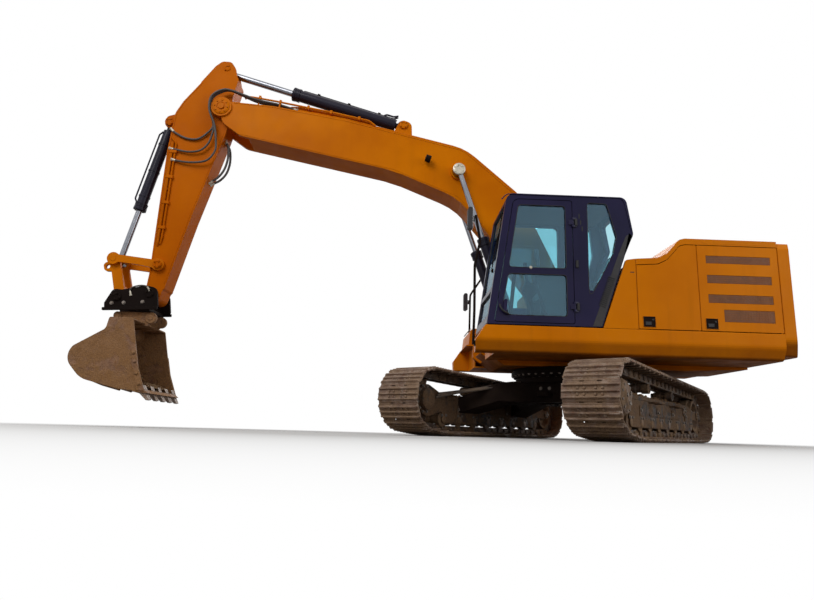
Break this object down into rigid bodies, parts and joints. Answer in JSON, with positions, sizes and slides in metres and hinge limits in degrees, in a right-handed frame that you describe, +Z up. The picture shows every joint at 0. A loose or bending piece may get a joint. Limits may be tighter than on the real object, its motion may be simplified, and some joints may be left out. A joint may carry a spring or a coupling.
{
  "type": "crawler excavator",
  "caption": "Crawler excavator with steel tracks, slewing upper structure, glazed cab, engine house, counterweight, backhoe boom and stick, and a bucket on a quick coupler.",
  "frame": {"origin": "on the ground, under the middle of the machine's bounding box", "axes": "+X forward along the boom, +Y to the machine's left, the cab side, +Z up"},
  "size_m": [9.2387, 5.3197, 5.3705],
  "materials": {
    "black_paint": "black paint, dusty",
    "chrome": "hard chrome, polished",
    "cloth": "dark woven seat cloth",
    "dark_paint": "dark blue black paint, semi gloss",
    "earth_steel": "worn steel under earth",
    "glass": "tinted safety glass",
    "paint": "orange yellow paint, dusty and worn",
    "plastic": "dark grained plastic",
    "worn_steel": "worn steel with dry mud"
  },
  "bodies": {
    "undercarriage": {"carbody": "black_paint", "track_frames": "black_paint", "track_left": "worn_steel", "track_right": "worn_steel", "sprockets": "worn_steel", "final_drives": "worn_steel", "idlers": "worn_steel", "lower_rollers": "worn_steel", "carrier_rollers": "worn_steel"},
    "upper": {"slew_ring": "black_paint", "platform": "paint", "counterweight": "paint", "bulkheads": "black_paint", "engine_deck": "paint", "engine_block": "black_paint", "corner_panel": "paint", "fuel_tank": "paint", "tool_box": "paint", "exhaust": "black_paint", "handrails": "black_paint", "mirrors": "plastic", "cab_shell": "dark_paint", "cab_glass": "glass", "cab_floor": "black_paint", "seat_base": "plastic", "seat_pads": "cloth", "consoles": "plastic", "travel_levers": "black_paint"},
    "cab_door": {"cab_door": "dark_paint", "cab_door_glass": "glass"},
    "left_pump_door": {"left_pump_door": "paint"},
    "left_cooler_door": {"left_cooler_door": "paint"},
    "right_pump_door": {"right_pump_door": "paint"},
    "right_engine_door": {"right_engine_door": "paint"},
    "hood": {"hood": "paint"},
    "boom": {"boom": "paint", "boom_pipes": "paint", "boom_lamp": "plastic"},
    "boom_barrels": {"boom_barrels": "paint"},
    "boom_rods": {"boom_rods": "chrome"},
    "stick": {"stick": "paint", "stick_pipes": "paint"},
    "stick_barrel": {"stick_barrel": "dark_paint"},
    "stick_rod": {"stick_rod": "chrome"},
    "bucket_barrel": {"bucket_barrel": "dark_paint"},
    "bucket_rod": {"bucket_rod": "chrome"},
    "side_links": {"side_links": "paint"},
    "power_link": {"power_link": "paint"},
    "bucket": {"coupler": "black_paint", "bucket": "earth_steel", "bucket_teeth": "earth_steel"}
  },
  "joints": [
    {"name": "slew", "type": "hinge", "parent": "undercarriage", "child": "upper", "pos_m": [-1.78771, 0, 0.73], "axis": [0, 0, 1], "continuous": true},
    {"name": "boom_lift", "type": "hinge", "parent": "upper", "child": "boom", "pos_m": [-1.73771, 0, 1.75], "axis": [0, 1, 0], "range_deg": [-32, 70]},
    {"name": "boom_barrels_turn", "type": "hinge", "parent": "upper", "child": "boom_barrels", "pos_m": [-1.14771, 0, 1.18], "axis": [0, 1, 0], "range_deg": [-31.03, 67.75]},
    {"name": "boom_rods_slide", "type": "slide", "parent": "boom_barrels", "child": "boom_rods", "axis": [0.3235, 0, 0.9462], "range_m": [-0.9118, 0.4179]},
    {"name": "stick_swing", "type": "hinge", "parent": "boom", "child": "stick", "pos_m": [3.18132, 0, 4.59], "axis": [0, -1, 0], "range_deg": [-40, 80]},
    {"name": "stick_barrel_turn", "type": "hinge", "parent": "boom", "child": "stick_barrel", "pos_m": [0.52116, 0, 4.49753], "axis": [0, -1, 0], "range_deg": [-1.88, 0.99]},
    {"name": "stick_rod_slide", "type": "slide", "parent": "stick_barrel", "child": "stick_rod", "axis": [0.9607, 0, 0.2775], "range_m": [-0.7933, 0.3977]},
    {"name": "bucket_curl", "type": "hinge", "parent": "stick", "child": "bucket", "pos_m": [3.89271, 0, 1.77861], "axis": [0, -1, 0], "range_deg": [-116, 59]},
    {"name": "side_links_turn", "type": "hinge", "parent": "stick", "child": "side_links", "pos_m": [3.84785, 0, 2.20049], "axis": [0, -1, 0], "range_deg": [-77.01, 39.22]},
    {"name": "power_link_turn", "type": "hinge", "parent": "side_links", "child": "power_link", "pos_m": [4.46271, 0, 2.26861], "axis": [0, -1, 0], "range_deg": [-20.47, 40.13]},
    {"name": "bucket_barrel_turn", "type": "hinge", "parent": "stick", "child": "bucket_barrel", "pos_m": [3.95799, 0, 4.39455], "axis": [0, -1, 0], "range_deg": [-8.18, 4.21]},
    {"name": "bucket_rod_slide", "type": "slide", "parent": "bucket_barrel", "child": "bucket_rod", "axis": [0.231, 0, -0.973], "range_m": [-0.3496, 0.6855]},
    {"name": "cab_door_swing", "type": "hinge", "parent": "upper", "child": "cab_door", "pos_m": [-1.57871, 1.389, 1.9], "axis": [0, 0, -1], "range_deg": [-170, 0]},
    {"name": "left_pump_door_swing", "type": "hinge", "parent": "upper", "child": "left_pump_door", "pos_m": [-3.08371, 1.36, 1.9], "axis": [0, 0, 1], "range_deg": [0, 110]},
    {"name": "left_cooler_door_swing", "type": "hinge", "parent": "upper", "child": "left_cooler_door", "pos_m": [-4.09071, 1.36, 1.9], "axis": [0, 0, 1], "range_deg": [0, 110]},
    {"name": "right_pump_door_swing", "type": "hinge", "parent": "upper", "child": "right_pump_door", "pos_m": [-3.08371, -1.36, 1.9], "axis": [0, 0, -1], "range_deg": [0, 110]},
    {"name": "right_engine_door_swing", "type": "hinge", "parent": "upper", "child": "right_engine_door", "pos_m": [-4.09071, -1.36, 1.9], "axis": [0, 0, -1], "range_deg": [0, 110]},
    {"name": "hood_lift", "type": "hinge", "parent": "upper", "child": "hood", "pos_m": [-4.01871, 0, 2.52], "axis": [0, -1, 0], "range_deg": [0, 60]}
  ],
  "couplings": [
    {"joint": "boom_barrels_turn", "follows": "boom_lift", "ratio": 0.96622},
    {"joint": "boom_rods_slide", "follows": "boom_lift", "m_per_rad": -0.74467},
    {"joint": "stick_barrel_turn", "follows": "stick_swing", "ratio": -0.02201},
    {"joint": "stick_rod_slide", "follows": "stick_swing", "m_per_rad": -0.56676},
    {"joint": "side_links_turn", "follows": "bucket_curl", "ratio": 0.66289},
    {"joint": "power_link_turn", "follows": "bucket_curl", "ratio": -0.34499},
    {"joint": "bucket_barrel_turn", "follows": "bucket_curl", "ratio": 0.0695},
    {"joint": "bucket_rod_slide", "follows": "bucket_curl", "m_per_rad": -0.33759}
  ]
}
